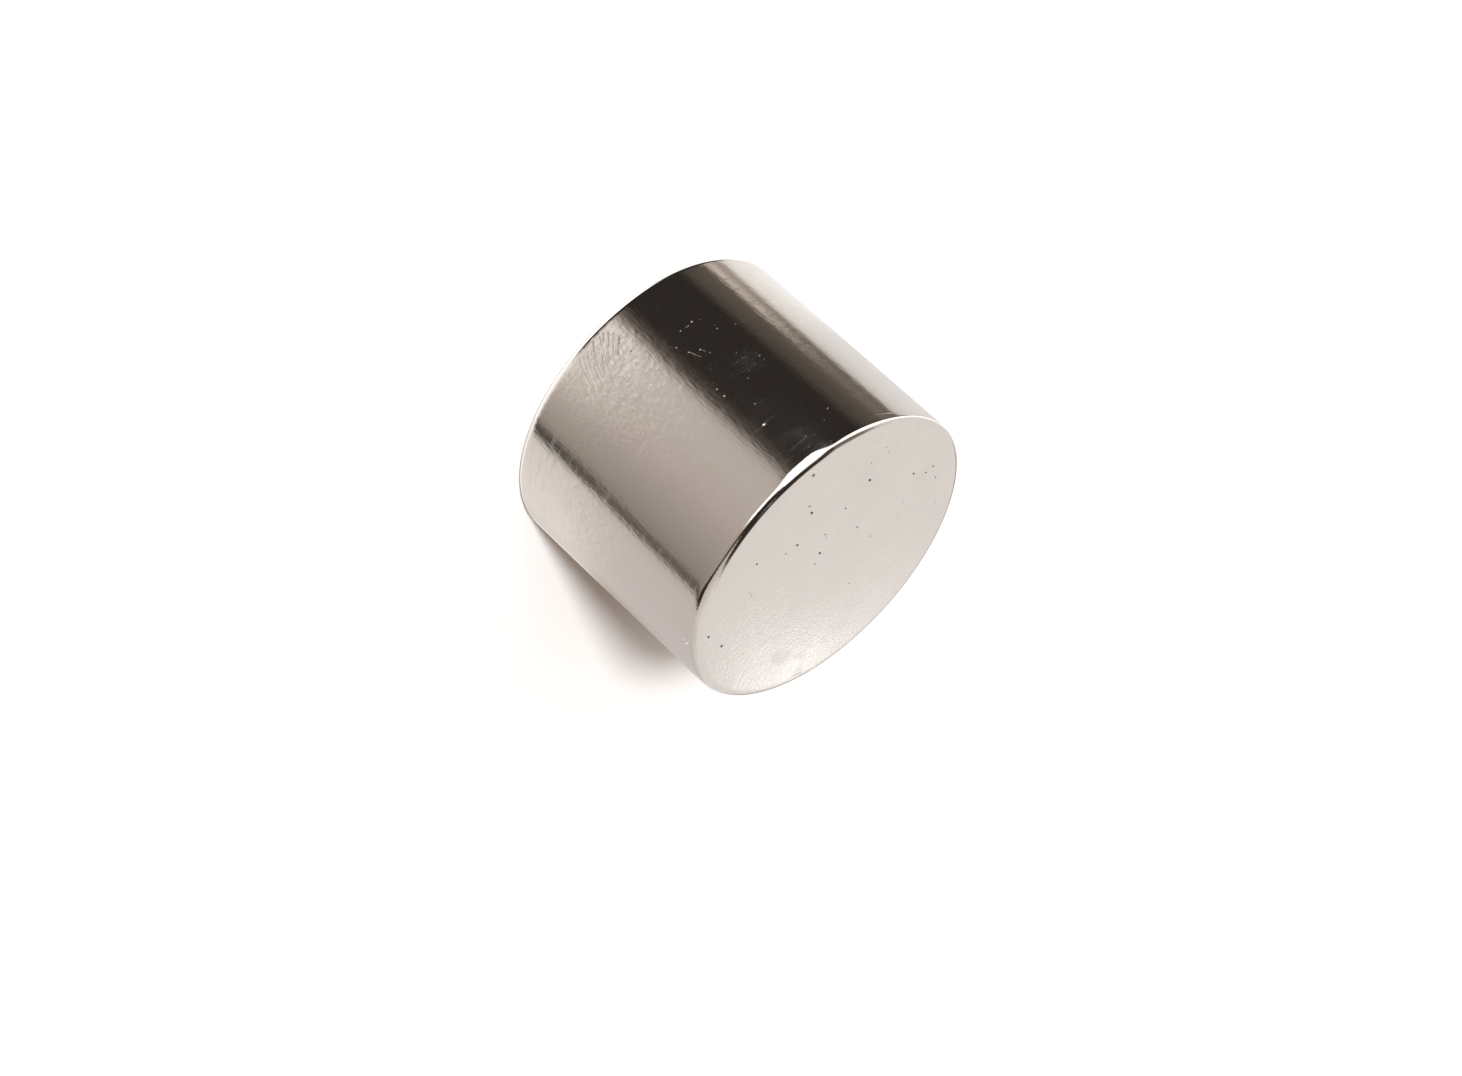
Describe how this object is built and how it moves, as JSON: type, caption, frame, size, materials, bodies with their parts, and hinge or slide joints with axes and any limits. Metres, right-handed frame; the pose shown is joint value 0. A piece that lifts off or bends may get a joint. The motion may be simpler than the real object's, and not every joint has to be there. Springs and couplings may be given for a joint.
{
  "type": "cylinder magnet",
  "caption": "Short solid nickel-plated cylinder with flat end faces and rounded edges: a permanent magnet that holds, latches or clamps onto ferrous metal.",
  "frame": {"origin": "centre of the lower end face, on the surface that the magnet stands on", "axes": "+Z along the cylinder's axis, which is also the direction of magnetisation, from the lower pole face to the upper one"},
  "size_m": [0.025, 0.025, 0.02],
  "materials": {
    "nickel_plating": "bright nickel plating over a ground and tumbled sintered block, with fine grinding marks and pits"
  },
  "bodies": {
    "root": {"magnet": "nickel_plating"}
  },
  "joints": []
}
